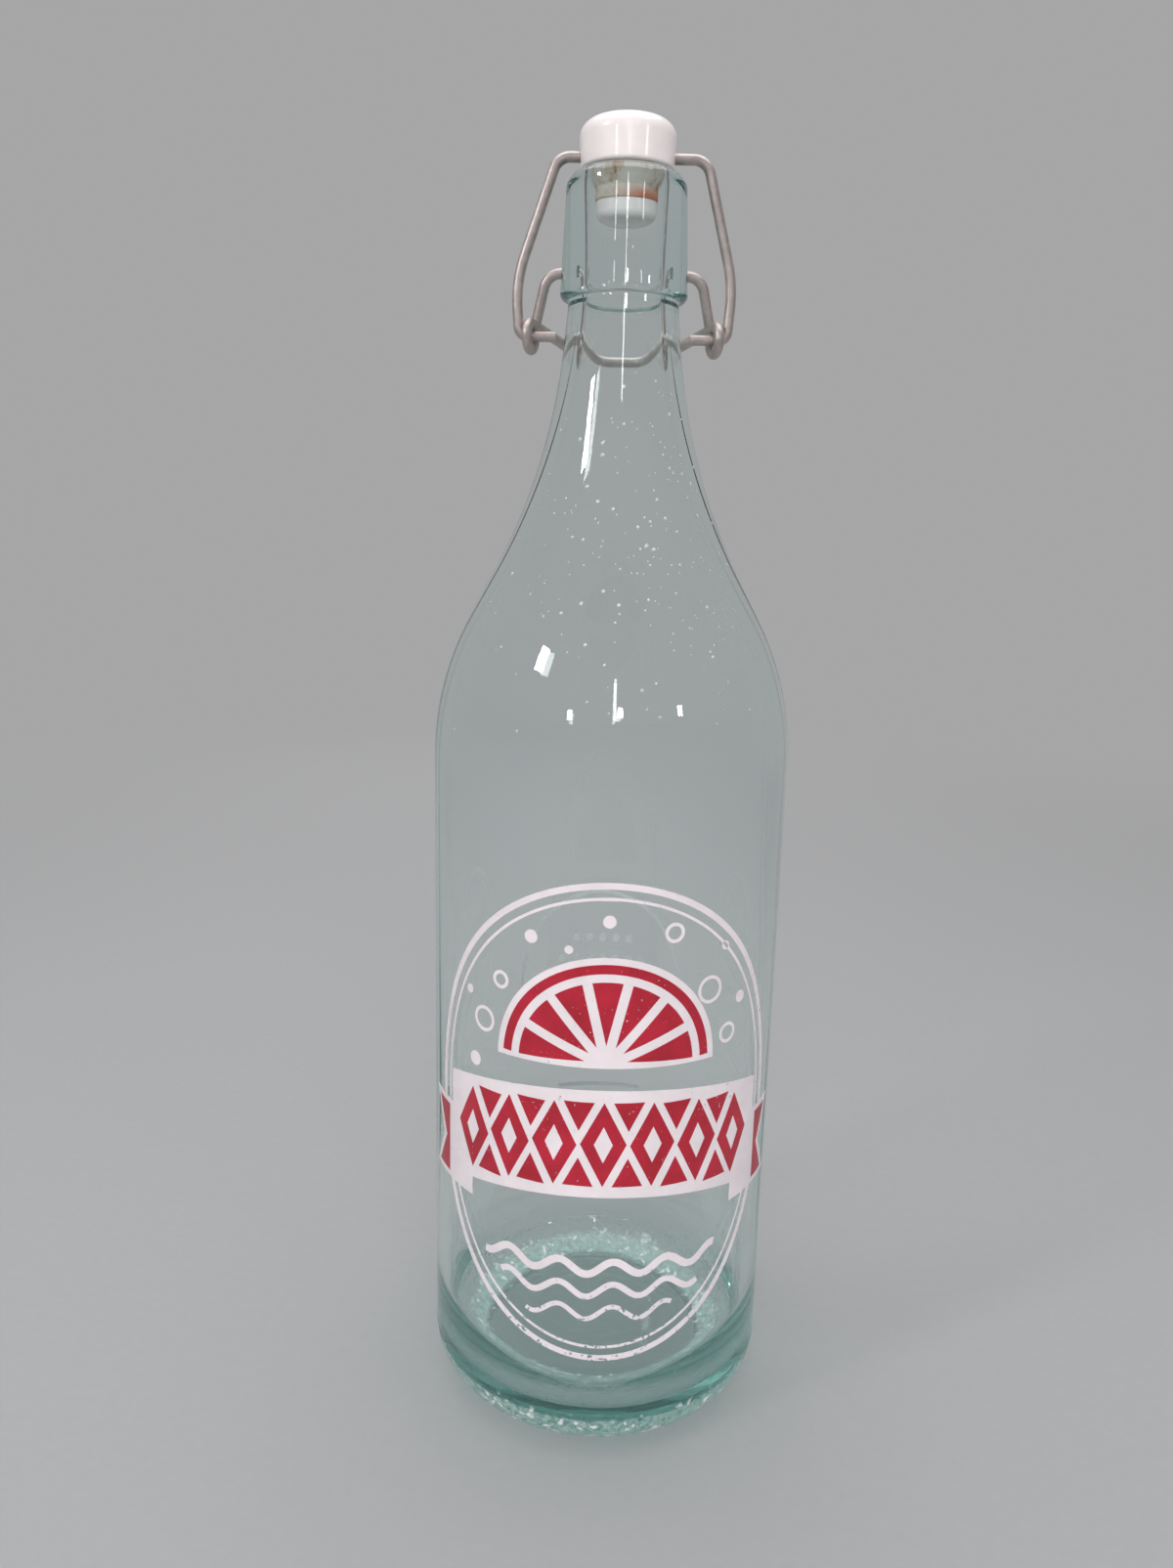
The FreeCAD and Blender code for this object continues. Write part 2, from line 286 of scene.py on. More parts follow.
# %% Outline of the glass
BODY_RADIUS = 44.0
BODY_WALL = 3.8
HEEL_RADIUS = 12.0
INNER_HEEL_RADIUS = 9.0
BASE_THICKNESS = 8.0
PUSH_UP = 2.6
PUSH_UP_STEPS = 14
BEARING_RADIUS = 29.0
STRAIGHT_HEIGHT = 168.5
SHOULDER_RADIUS = 72.0
SHOULDER_SLOPE = math.radians(28.5)
NECK_SWEEP = 140.0
NECK_RADIUS = 12.9
NECK_TAPER = math.tan(math.radians(2.4))
COLLAR_UNDERSIDE = 275.3
COLLAR_ROOT = 0.3
COLLAR_RADIUS = 14.9
COLLAR_EDGE = 1.6
LIP_TOP = 302.6
LIP_RADIUS = 13.7
LIP_OUTER_EDGE = 4.0
LIP_INNER_EDGE = 2.0
BORE_RADIUS = 8.6
BORE_SWEEP = 150.0

shoulder_z = STRAIGHT_HEIGHT + SHOULDER_RADIUS * math.tan(SHOULDER_SLOPE / 2)
neck_fall = BODY_RADIUS - NECK_RADIUS - (COLLAR_UNDERSIDE - shoulder_z) * NECK_TAPER
neck_z = shoulder_z + neck_fall / (math.tan(SHOULDER_SLOPE) - NECK_TAPER)
neck_r = BODY_RADIUS - (neck_z - shoulder_z) * math.tan(SHOULDER_SLOPE)
inner_r = BODY_RADIUS - BODY_WALL
inner_z = shoulder_z - BODY_WALL * math.tan(SHOULDER_SLOPE / 2)
bore_z = inner_z + (inner_r - BORE_RADIUS) / math.tan(SHOULDER_SLOPE)
# Corners as (radius, height, rounding): up the outside, over the lip and down the inside
glass_corners = [
    (BEARING_RADIUS, 0.0, 0.0),
    (BODY_RADIUS, 0.0, HEEL_RADIUS),
    (BODY_RADIUS, shoulder_z, SHOULDER_RADIUS),
    (neck_r, neck_z, NECK_SWEEP),
    (NECK_RADIUS, COLLAR_UNDERSIDE, COLLAR_ROOT),
    (COLLAR_RADIUS, COLLAR_UNDERSIDE, COLLAR_EDGE),
    (LIP_RADIUS, LIP_TOP, LIP_OUTER_EDGE),
    (BORE_RADIUS, LIP_TOP, LIP_INNER_EDGE),
    (BORE_RADIUS, bore_z, BORE_SWEEP),
    (inner_r, inner_z, SHOULDER_RADIUS - BODY_WALL),
    (inner_r, BASE_THICKNESS, INNER_HEEL_RADIUS),
    (BEARING_RADIUS, BASE_THICKNESS, 0.0),
]
print("outline corners", len(glass_corners), "shoulder at", round(shoulder_z, 1), "mm")

# %% Round the outline's corners
RUN_STEP = 3.0
ARC_STEP = math.radians(3.0)


def run_to(path, end):
    """Lengthens a path by a straight run of short steps."""
    start = path[-1]
    steps = max(1, round((end - start).length / RUN_STEP))
    for k in range(1, steps + 1):
        path.append(start.lerp(end, k / steps))


def roundings(points, corners):
    """Distance from each corner to where its arc begins, shortened where two arcs would meet."""
    reach = [0.0]
    for before, here, after, row in zip(points, points[1:], points[2:], corners[1:]):
        turn = (here - before).angle(after - here)
        reach.append(row[2] * math.tan(turn / 2))
    reach.append(0.0)
    runs = [(b - a).length for a, b in zip(points, points[1:])]
    for i in range(1, len(points) - 1):
        room = min(runs[i - 1] / (reach[i - 1] + reach[i]), runs[i] / (reach[i] + reach[i + 1]))
        reach[i] *= min(1.0, room)
    return reach


def rounded(corners):
    """Points along an outline of (radius, height, rounding) corners, with its roundings as arcs."""
    points = [Vector((r, z)) for r, z, _ in corners]
    reach = roundings(points, corners)
    path = [points[0]]
    for i in range(1, len(points) - 1):
        back = (points[i - 1] - points[i]).normalized()
        ahead = (points[i + 1] - points[i]).normalized()
        turn = math.pi - back.angle(ahead)
        start = points[i] + back * reach[i]
        run_to(path, start)
        radius = reach[i] / math.tan(turn / 2)
        centre = points[i] + (back + ahead).normalized() * (radius / math.cos(turn / 2))
        spoke = start - centre
        side = 1 if back.x * ahead.y - back.y * ahead.x < 0 else -1
        steps = max(2, round(turn / ARC_STEP), round(radius * turn / RUN_STEP))
        for k in range(1, steps + 1):
            a = side * turn * k / steps
            path.append(centre + Vector((spoke.x * math.cos(a) - spoke.y * math.sin(a),
                                         spoke.x * math.sin(a) + spoke.y * math.cos(a))))
    run_to(path, points[-1])
    return path


def push_up(base):
    """Points of the arched base from the axis to the bearing ring."""
    radius = (BEARING_RADIUS ** 2 + PUSH_UP ** 2) / (2 * PUSH_UP)
    half = math.asin(BEARING_RADIUS / radius)
    turns = [half * k / PUSH_UP_STEPS for k in range(PUSH_UP_STEPS)]
    return [Vector((radius * math.sin(a), base + PUSH_UP - radius * (1 - math.cos(a)))) for a in turns]


wall = rounded(glass_corners)
lip_index = max(range(len(wall)), key=lambda i: wall[i].y)
outline = push_up(0.0) + wall + push_up(BASE_THICKNESS)[::-1]
inside_after = PUSH_UP_STEPS + lip_index
print("outline points", len(outline))

# %% [markdown]
# ## Marks of blowing and moulding
# Each mark is a small shift of the wall, in or out, that fades in and out over the height. The inner wall
# wanders in long smooth waves, the outer one ripples faintly, the heel is hammered as old moulds are, and
# two fine seams run up the sides where the mould's halves met. They could be bump in the material, but
# glass shows a wall by bending what is behind it, so they have to be in the mesh.

# %% Sizes of the marks
TURNS = 288
ON_AXIS = 1e-6
INNER_WANDER, INNER_WANDER_SIZE, WANDER_STRETCH = 0.42, 34.0, 2.2
WANDER_IN, WANDER_OUT = (14.0, 34.0), (258.0, 296.0)
WANDER_FULL_RADIUS = 26
HEEL_THICKENING = 3.6
THICK_OUT, THICK_RADII = (9.0, 27.0), (20.0, 36.0)
FLOOR_WAVE, FLOOR_WAVE_SIZE = 0.08, 9.0
FLOOR_OUT, FLOOR_RADII = (14.0, 26.0), (4.0, 20.0)
OUTER_RIPPLE, OUTER_RIPPLE_SIZE, RIPPLE_STRETCH = 0.035, 11.0, 3.0
RIPPLE_IN = (14.0, 30.0)
HEEL_HAMMER, HEEL_HAMMER_SIZE = 0.16, 3.6
HAMMER_IN, HAMMER_OUT = (0.6, 3.0), (8.0, 15.0)
SEAM_HEIGHT, SEAM_WIDTH = 0.14, 0.8
SEAM_IN, SEAM_OUT = (6.0, 12.0), (268.0, 274.0)

SEED = 7
NOISE_REACH = 90

rng = random.Random(SEED)
noise_shift = Vector([rng.uniform(0, NOISE_REACH) for _ in "xyz"])
print("noise shift", tuple(round(v, 1) for v in noise_shift))


# %% Turn the outline and make the wall uneven
def ease(value, low, high):
    """Smooth step from 0 at low to 1 at high."""
    t = min(1.0, max(0.0, (value - low) / (high - low)))
    return t * t * (3 - 2 * t)


def wobble(point, size, stretch=1.0):
    """Smooth noise about -1 to 1 with features of a size in millimetres, drawn out along the height."""
    spot = Vector((point.x, point.y, point.z / stretch)) / size + noise_shift
    return noise.noise(spot, noise_basis="PERLIN_NEW")


def moulded(index, r, z, angle):
    """Place of one outline point at an angle, with the marks that blowing and moulding leave."""
    outward = Vector((math.sin(angle), -math.cos(angle), 0.0))
    place = outward * r + Vector((0, 0, z))
    if r < ON_AXIS:
        return place
    if index > inside_after:
        free = ease(z, *WANDER_IN) * (1 - ease(z, *WANDER_OUT))
        wander = wobble(place, INNER_WANDER_SIZE, WANDER_STRETCH)
        shift = INNER_WANDER * wander * free * min(1.0, r / WANDER_FULL_RADIUS)
        shift -= HEEL_THICKENING * (1 - ease(z, *THICK_OUT)) * ease(r, *THICK_RADII)
        on_floor = (1 - ease(z, *FLOOR_OUT)) * ease(r, *FLOOR_RADII)
        place.z += FLOOR_WAVE * wobble(place, FLOOR_WAVE_SIZE) * on_floor
        return place + outward * shift
    shift = OUTER_RIPPLE * wobble(place, OUTER_RIPPLE_SIZE, RIPPLE_STRETCH) * ease(z, *RIPPLE_IN)
    hammered = HEEL_HAMMER * wobble(place, HEEL_HAMMER_SIZE)
    shift += hammered * ease(z, *HAMMER_IN) * (1 - ease(z, *HAMMER_OUT))
    off_seam = abs(math.cos(angle)) * r
    on_seam = math.exp(-(off_seam / SEAM_WIDTH) ** 2)
    shift += SEAM_HEIGHT * on_seam * ease(z, *SEAM_IN) * (1 - ease(z, *SEAM_OUT))
    return place + outward * shift


bottle_mesh = bpy.data.meshes.new("moulded_glass")
bm = bmesh.new()
rings = []
for i, point in enumerate(outline):
    count = 1 if point.x < ON_AXIS else TURNS
    angles = [2 * math.pi * k / TURNS for k in range(count)]
    rings.append([bm.verts.new(moulded(i, point.x, point.y, angle) * MM) for angle in angles])
for low, high in zip(rings, rings[1:]):
    for k in range(TURNS):
        corners = [low[k % len(low)], low[(k + 1) % len(low)],
                   high[(k + 1) % len(high)], high[k % len(high)]]
        bm.faces.new(list(dict.fromkeys(corners)))
bm.normal_update()
bmesh.ops.recalc_face_normals(bm, faces=bm.faces)
bm.to_mesh(bottle_mesh)
bm.free()
print("glass faces", len(bottle_mesh.polygons))

# %% [markdown]
# ## Pivot holes
# Two blind holes in the collar's sides take the lever's ends. They could be modelled by cutting loops into
# the lathe mesh, but its points don't lie where the holes are. A boolean with two round drifts, like the
# pins that form the holes in the mould, leaves clean round mouths in the curved wall.

# %% Cut the pivot holes
PIVOT_HEIGHT = 281.3
PIVOT_HOLE_RADIUS = 1.3
PIVOT_HOLE_FLOOR = 11.64
DRIFT_LENGTH = 8.0
DRIFT_SIDES = 32
GLASS_CREASE = 40


def evaluated_mesh(holder):
    """Mesh of an object as its modifiers or its curve leave it. The object itself is removed."""
    bpy.context.view_layer.update()
    graph = bpy.context.evaluated_depsgraph_get()
    mesh = bpy.data.meshes.new_from_object(holder.evaluated_get(graph))
    bpy.data.objects.remove(holder)
    return mesh


def shade_smooth(mesh, crease):
    """Smooth shading, with sharp edges where faces meet at more than a crease in degrees."""
    mesh.polygons.foreach_set("use_smooth", [True] * len(mesh.polygons))
    mesh.set_sharp_from_angle(angle=math.radians(crease))


drift_mesh = bpy.data.meshes.new("pivot_drifts")
bm = bmesh.new()
for side in (-1, 1):
    middle = Vector((side * (PIVOT_HOLE_FLOOR + DRIFT_LENGTH / 2), 0, PIVOT_HEIGHT)) * MM
    lying = Matrix.Translation(middle) @ Matrix.Rotation(math.pi / 2, 4, "Y")
    bmesh.ops.create_cone(bm, cap_ends=True, segments=DRIFT_SIDES, radius1=PIVOT_HOLE_RADIUS * MM,
                          radius2=PIVOT_HOLE_RADIUS * MM, depth=DRIFT_LENGTH * MM, matrix=lying)
bm.to_mesh(drift_mesh)
bm.free()
drifts = link_object("pivot_drifts", drift_mesh)
blank = link_object("glass_blank", bottle_mesh)
cut = blank.modifiers.new("pivot_holes", "BOOLEAN")
cut.object = drifts
cut.operation = "DIFFERENCE"
cut.solver = "EXACT"
drilled = evaluated_mesh(blank)
bpy.data.objects.remove(drifts)
shade_smooth(drilled, GLASS_CREASE)
print("drilled glass faces", len(drilled.polygons))

# %% [markdown]
# ## Soda-lime glass
# Soda-lime glass with a trace of iron: clear through one wall, aqua through two, emerald where light runs
# along the wall, as in the heel. A tinted surface would be as green in thin glass as in thick, so the
# colour comes from absorption inside the glass. The surface is fire-polished, with a scuffed band at the
# shoulder where bottles rub in their crates. The mould's rough foot leaves a pale stippled band under the
# emerald heel. Its grit is drawn coarser than the real one, or it would not show. White spots in that band
# are painted glints, a painted highlight that stands in for lamp sparkle, not crumbs of glass.
# Lamp light is let straight through, because a path tracer can't follow it through two bent walls to the
# paper.

# %% Roughness of the scuffed band and the stippled foot
SCUFF_LOW, SCUFF_MIDDLE, SCUFF_HIGH = 150, 172, 192
SCUFF_GRAIN = 6.0
SCUFF_ROUGHNESS = 0.10
FOOT_INNER, FOOT_OUTER = 27, 30
FOOT_FULL, FOOT_TOP = 10.4, 12.8
STIPPLE_ROUGHNESS = 0.34

glass, tree, out = new_material("soda_lime_glass_blown")
coords = add(tree, "ShaderNodeTexCoord").outputs["Object"]
axes = add(tree, "ShaderNodeSeparateXYZ", {"Vector": coords})
rubbed = add(tree, "ShaderNodeTexNoise", {"Vector": coords, "Scale": per_mm(SCUFF_GRAIN), "Detail": 6.0,
                                          "Roughness": 0.7})
rising = add(tree, "ShaderNodeMapRange", {"Value": axes.outputs["Z"], "From Min": SCUFF_LOW * MM,
                                          "From Max": SCUFF_MIDDLE * MM})
falling = add(tree, "ShaderNodeMapRange", {"Value": axes.outputs["Z"], "From Min": SCUFF_MIDDLE * MM,
                                           "From Max": SCUFF_HIGH * MM, "To Min": 1.0, "To Max": 0.0})
band = add(tree, "ShaderNodeMath", {0: rising.outputs["Result"], 1: falling.outputs["Result"]},
           operation="MULTIPLY")
worn = add(tree, "ShaderNodeMath", {0: band.outputs["Value"], 1: rubbed.outputs["Fac"]},
           operation="MULTIPLY")
scuff = add(tree, "ShaderNodeMapRange", {"Value": worn.outputs["Value"], "From Min": 0.45, "From Max": 0.75,
                                         "To Max": SCUFF_ROUGHNESS})
level = add(tree, "ShaderNodeVectorMath", {0: coords, 1: (1.0, 1.0, 0.0)}, operation="MULTIPLY")
spread = add(tree, "ShaderNodeVectorMath", {0: level.outputs["Vector"]}, operation="LENGTH")
outer = add(tree, "ShaderNodeMapRange", {"Value": spread.outputs["Value"], "From Min": FOOT_INNER * MM,
                                         "From Max": FOOT_OUTER * MM})
low = add(tree, "ShaderNodeMapRange", {"Value": axes.outputs["Z"], "From Min": FOOT_FULL * MM,
                                       "From Max": FOOT_TOP * MM, "To Min": 1.0, "To Max": 0.0})
foot = add(tree, "ShaderNodeMath", {0: outer.outputs["Result"], 1: low.outputs["Result"]},
           operation="MULTIPLY")
stipple = add(tree, "ShaderNodeMapRange", {"Value": foot.outputs["Value"], "To Max": STIPPLE_ROUGHNESS})
rough = add(tree, "ShaderNodeMath", {0: scuff.outputs["Result"], 1: stipple.outputs["Result"]})
print("scuffed from", SCUFF_LOW, "to", SCUFF_HIGH, "mm, stippled up to", FOOT_TOP, "mm")

# %% Frost of the foot and its painted glints
# The frost lies on the outside of the glass, so from inside the glass it is much fainter.
GRIT_SIZE, GRIT_DEPTH = 1.3, 0.40
# The size, thresholds and cover after the grit set the painted glints: white spots in the frost that stand
# in for lamp sparkle.
PAINTED_GLINT_SIZE = 2.0
PAINTED_GLINT_START, PAINTED_GLINT_FULL = 0.60, 0.68
FROST_COVER, PAINTED_GLINT_COVER = 0.55, 0.85
FROST_FROM_INSIDE = 0.1

grit = add(tree, "ShaderNodeTexNoise", {"Vector": coords, "Scale": per_mm(GRIT_SIZE), "Detail": 3.0,
                                        "Roughness": 0.6})
grit_height = add(tree, "ShaderNodeMath", {0: grit.outputs["Fac"], 1: foot.outputs["Value"]},
                  operation="MULTIPLY")
pebbled = add(tree, "ShaderNodeBump", {"Height": grit_height.outputs["Value"], "Strength": 1.0,
                                       "Distance": GRIT_DEPTH * MM})
# Painted glints: where this noise is high, the frost's colour turns white and covers more of the foot, a
# painted highlight in place of lamp sparkle.
painted_glints = add(tree, "ShaderNodeTexNoise", {"Vector": coords, "Scale": per_mm(PAINTED_GLINT_SIZE), "Detail": 1.0,
                                          "Roughness": 0.5})
frost_and_painted_glint_colour = add(tree, "ShaderNodeValToRGB", {"Fac": painted_glints.outputs["Fac"]},
              stops=[(PAINTED_GLINT_START, "#CFE8E2"), (PAINTED_GLINT_FULL, "#FFFFFF")])
frost_and_glint_diffuse = add(tree, "ShaderNodeBsdfDiffuse", {"Color": frost_and_painted_glint_colour.outputs["Color"],
                                              "Normal": pebbled.outputs["Normal"]})
frost = add(tree, "ShaderNodeMapRange", {"Value": grit_height.outputs["Value"], "From Min": 0.30,
                                         "From Max": 0.62, "To Max": FROST_COVER})
# Share of painted glints, white spots that stand in for lamp sparkle, laid over the real frost.
painted_glint_share = add(tree, "ShaderNodeMapRange", {"Value": painted_glints.outputs["Fac"], "From Min": PAINTED_GLINT_START,
                                          "From Max": PAINTED_GLINT_FULL, "To Max": PAINTED_GLINT_COVER})
painted_glints_on_foot = add(tree, "ShaderNodeMath", {0: painted_glint_share.outputs["Result"], 1: foot.outputs["Value"]},
                  operation="MULTIPLY")
frost_and_painted_glint_cover = add(tree, "ShaderNodeMath", {0: frost.outputs["Result"], 1: painted_glints_on_foot.outputs["Value"]},
            operation="MAXIMUM")
facing = add(tree, "ShaderNodeNewGeometry")
outside = add(tree, "ShaderNodeMapRange", {"Value": facing.outputs["Backfacing"], "To Min": 1.0,
                                           "To Max": FROST_FROM_INSIDE})
frost_and_glints_seen = add(tree, "ShaderNodeMath", {0: frost_and_painted_glint_cover.outputs["Value"], 1: outside.outputs["Result"]},
                 operation="MULTIPLY")
print("grit", GRIT_SIZE, "mm, crumbs", PAINTED_GLINT_SIZE, "mm")

# %% Surface and colour of the glass
GLASS_IOR = 1.52
ABSORB_COLOUR = "#47CFC4"
ABSORB_PER_METRE = 16.0
LAMP_TINT = "#F1F2F2"

polished = add(tree, "ShaderNodeBsdfPrincipled",
               {"Base Color": linear("#FFFFFF"), "Transmission Weight": 1.0, "IOR": GLASS_IOR,
                "Roughness": rough.outputs["Value"], "Normal": pebbled.outputs["Normal"]})
stippled = add(tree, "ShaderNodeMixShader", {"Fac": frost_and_glints_seen.outputs["Value"],
                                             1: polished.outputs["BSDF"], 2: frost_and_glint_diffuse.outputs["BSDF"]})
through = add(tree, "ShaderNodeBsdfTransparent", {"Color": linear(LAMP_TINT)})
ray = add(tree, "ShaderNodeLightPath")
lamp = add(tree, "ShaderNodeMath", {0: ray.outputs["Is Shadow Ray"], 1: ray.outputs["Is Diffuse Ray"]},
           operation="MAXIMUM")
seen = add(tree, "ShaderNodeMixShader", {"Fac": lamp.outputs["Value"], 1: stippled.outputs["Shader"],
                                         2: through.outputs["BSDF"]})
iron = add(tree, "ShaderNodeVolumeAbsorption", {"Color": linear(ABSORB_COLOUR),
                                                "Density": ABSORB_PER_METRE})
tree.links.new(seen.outputs["Shader"], out.inputs["Surface"])
tree.links.new(iron.outputs["Volume"], out.inputs["Volume"])

bottle = link_object("moulded_glass_bottle", drilled)
dress(bottle, glass)
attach(bottle, "bottle")
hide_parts("glass_bottle")
print("glass bottle placed")

# %% [markdown]
# ## Fired enamel print
# Such bottles were screen printed with glass enamel and fired, so the colour is a thin, slightly raised
# coat that is part of the glass. A texture would have no edge and no thickness. Here each motif is drawn
# as flat outlines in millimetres, filled by a 2-D curve, cut into narrow strips so that it can bend,
# wrapped on the body and given the thickness of the coat. The motifs are plain ones: an oval line frame, a
# ribbon with lozenges, half a citrus slice, rising bubbles and waves.


# %% Outlines for the print
def oval(across, height, wide, tall, start=0.0, sweep=360.0, count=96):
    """Points on an ellipse or an arc of it, angles in degrees from the right upwards."""
    turns = [math.radians(start + sweep * k / count) for k in range(count + (sweep < 360))]
    return [(across + wide * math.cos(a), height + tall * math.sin(a)) for a in turns]


def stroke(points, width):
    """Closed outline of a line of the given width along open points."""
    left, right = [], []
    for i, (s, z) in enumerate(points):
        s0, z0 = points[max(0, i - 1)]
        s1, z1 = points[min(len(points) - 1, i + 1)]
        length = math.hypot(s1 - s0, z1 - z0)
        side_s, side_z = (z0 - z1) / length * width / 2, (s1 - s0) / length * width / 2
        left.append((s + side_s, z + side_z))
        right.append((s - side_s, z - side_z))
    return left + right[::-1]


print("outline helpers ready")

# %% White lines: frame, waves and bubbles
FRAME_MIDDLE = 88.0
FRAME_WIDE, FRAME_TALL = 49.0, 60.0
FRAME_POINTS = 180
FRAME_EDGES = (0.0, 1.5, 3.4, 4.1)
WAVES = [(30, 53), (25, 47), (18, 41)]
WAVE_STEPS = 40
WAVE_RISE, HALF_WAVE = 1.7, 6.5
WAVE_WIDTH, WAVE_THINNING = 1.9, 0.35
BUBBLES = [(-31, 111, 3.2), (-26, 122, 2.2), (-34, 100, 1.8), (-18, 134, 1.6), (31, 109, 2.6),
           (25, 121, 3.4), (35, 117, 1.5), (15, 136, 2.4), (0, 139, 1.5), (-9, 132, 1.0), (29, 131, 1.1),
           (-36, 117, 1.1)]
BUBBLE_POINTS = 28
OPEN_BUBBLE, BUBBLE_LINE = 2, 0.8

white_lines = [oval(0, FRAME_MIDDLE, FRAME_WIDE - edge, FRAME_TALL - edge, count=FRAME_POINTS)
               for edge in FRAME_EDGES]
for row, (reach, height) in enumerate(WAVES):
    wave = []
    for k in range(-WAVE_STEPS, WAVE_STEPS + 1):
        rise = WAVE_RISE * math.sin(math.pi * k / WAVE_STEPS * reach / HALF_WAVE)
        wave.append((reach * k / WAVE_STEPS, height + rise))
    white_lines.append(stroke(wave, WAVE_WIDTH - WAVE_THINNING * row))
for across, height, size in BUBBLES:
    white_lines.append(oval(across, height, size, size, count=BUBBLE_POINTS))
    if size > OPEN_BUBBLE:
        hollow = size - BUBBLE_LINE
        white_lines.append(oval(across, height, hollow, hollow, count=BUBBLE_POINTS))
print("white line outlines", len(white_lines))

# %% Ribbon with lozenges and swallowtail ends
RIBBON_MIDDLE = 80.0
RIBBON_HEIGHT = 27.0
RIBBON_REACH = 44.0
RIBBON_ARCH = 5.0
RIBBON_STEPS = 30
TAIL_MIDDLE = 74.0
TAIL_HEIGHT = 21.0
LOZENGE_STEP = 11.6
LOZENGE_WIDE, LOZENGE_TALL = 5.4, 10.6
HEART_WIDE, HEART_TALL = 2.2, 4.6
WEDGE_WIDE, WEDGE_TALL = 3.6, 7.2
LOZENGES_EACH_SIDE = 3


def arch(s):
    """Rise of the ribbon's middle line above its ends."""
    return RIBBON_ARCH * (1 - (s / RIBBON_REACH) ** 2)


def swallowtail(side, near, far, notch, margin):
    """Notched end of the ribbon, from near to far past the ribbon's end, inside a margin."""
    low, high = TAIL_MIDDLE - TAIL_HEIGHT / 2 + margin, TAIL_MIDDLE + TAIL_HEIGHT / 2 - margin
    corners = [(near, low), (far, low), (notch, TAIL_MIDDLE), (far, high), (near, high)]
    return [(side * (RIBBON_REACH + s), z) for s, z in corners]


def lozenge(s, z, wide, tall):
    """Four corners of a lozenge."""
    return [(s - wide, z), (s, z - tall), (s + wide, z), (s, z + tall)]


places = [RIBBON_REACH * k / RIBBON_STEPS for k in range(-RIBBON_STEPS, RIBBON_STEPS + 1)]
ribbon_top = [(s, RIBBON_MIDDLE + arch(s) + RIBBON_HEIGHT / 2) for s in places]
ribbon_foot = [(s, RIBBON_MIDDLE + arch(s) - RIBBON_HEIGHT / 2) for s in reversed(places)]
white_ribbon = [ribbon_top + ribbon_foot]
white_tails = [swallowtail(side, near=-9, far=11, notch=5, margin=0.0) for side in (-1, 1)]
red_tails = [swallowtail(side, near=1.6, far=8.4, notch=3.4, margin=1.4) for side in (-1, 1)]
red_ribbon = []
for k in range(-LOZENGES_EACH_SIDE, LOZENGES_EACH_SIDE + 1):
    s = LOZENGE_STEP * k
    z = RIBBON_MIDDLE + arch(s)
    red_ribbon.append(lozenge(s, z, LOZENGE_WIDE, LOZENGE_TALL))
    red_ribbon.append(lozenge(s, z, HEART_WIDE, HEART_TALL))
    if k == LOZENGES_EACH_SIDE:
        continue
    between = s + LOZENGE_STEP / 2
    for level in (-1, 1):
        edge = RIBBON_MIDDLE + arch(between) + level * LOZENGE_TALL
        red_ribbon.append([(between - WEDGE_WIDE, edge), (between + WEDGE_WIDE, edge),
                           (between, edge - level * WEDGE_TALL)])
print("ribbon outlines", len(red_ribbon), "tail outlines", len(red_tails))

# %% Half a citrus slice
SLICE_HEIGHT = 104.0
SLICE_RADIUS = 25.0
SLICE_MARGIN = 1.6
RIND, RIND_TO_FLESH = 2.2, 4.2
RIND_CUT = 3
SEGMENTS = 7
SEGMENT_GAP = 3.2
SEGMENT_TIP, TIP_LIFT = 5.0, 0.6
SEGMENT_POINTS = 12


def slice_arc(radius, *angles):
    """Points on an arc about the slice's middle."""
    return oval(0, SLICE_HEIGHT, radius, radius, *angles)


white_slice = [slice_arc(SLICE_RADIUS + SLICE_MARGIN, 0, 180)]
rind_sweep = 180 - 2 * RIND_CUT
red_slice = [slice_arc(SLICE_RADIUS, RIND_CUT, rind_sweep)
             + slice_arc(SLICE_RADIUS - RIND, 180 - RIND_CUT, -rind_sweep)]
for k in range(SEGMENTS):
    start, sweep = 180 * k / SEGMENTS + SEGMENT_GAP, 180 / SEGMENTS - 2 * SEGMENT_GAP
    rim = slice_arc(SLICE_RADIUS - RIND_TO_FLESH, start, sweep, SEGMENT_POINTS)
    middle = math.radians(start + sweep / 2)
    tip = (SEGMENT_TIP * math.cos(middle), SLICE_HEIGHT + SEGMENT_TIP * math.sin(middle) + TIP_LIFT)
    red_slice.append([tip] + rim)
print("slice outlines", len(red_slice))

# %% Ring and dots on the back
BACK_MIDDLE = 92
RING_RADIUS, RING_WIDTH = 27, 1.1
RING_START, RING_SWEEP, RING_POINTS = 290, 320, 90
DOT_ROWS, DOTS_IN_MIDDLE = 5, 9
DOT_ACROSS, DOT_UP = 4.4, 6.4
DOT_RADIUS, DOT_POINTS = 1.25, 20
BACK_LINES = [(14, 58, 1.3), (9, 54, 1.0)]

ring = oval(0, BACK_MIDDLE, RING_RADIUS, RING_RADIUS, RING_START, RING_SWEEP, RING_POINTS)
back_motif = [stroke(ring, RING_WIDTH)]
for row in range(DOT_ROWS):
    from_middle = row - DOT_ROWS // 2
    count = DOTS_IN_MIDDLE - 2 * abs(from_middle)
    for k in range(count):
        across = DOT_ACROSS * (k - (count - 1) / 2)
        height = BACK_MIDDLE + DOT_UP * from_middle
        back_motif.append(oval(across, height, DOT_RADIUS, DOT_RADIUS, count=DOT_POINTS))
for reach, height, width in BACK_LINES:
    back_motif.append(stroke([(-reach, height), (reach, height)], width))
print("back outlines", len(back_motif))

# %% Fill, wrap and thicken
PRINT_STRIP = 2.0
SAME_POINT = 1e-4
ENAMEL_CREASE = 30


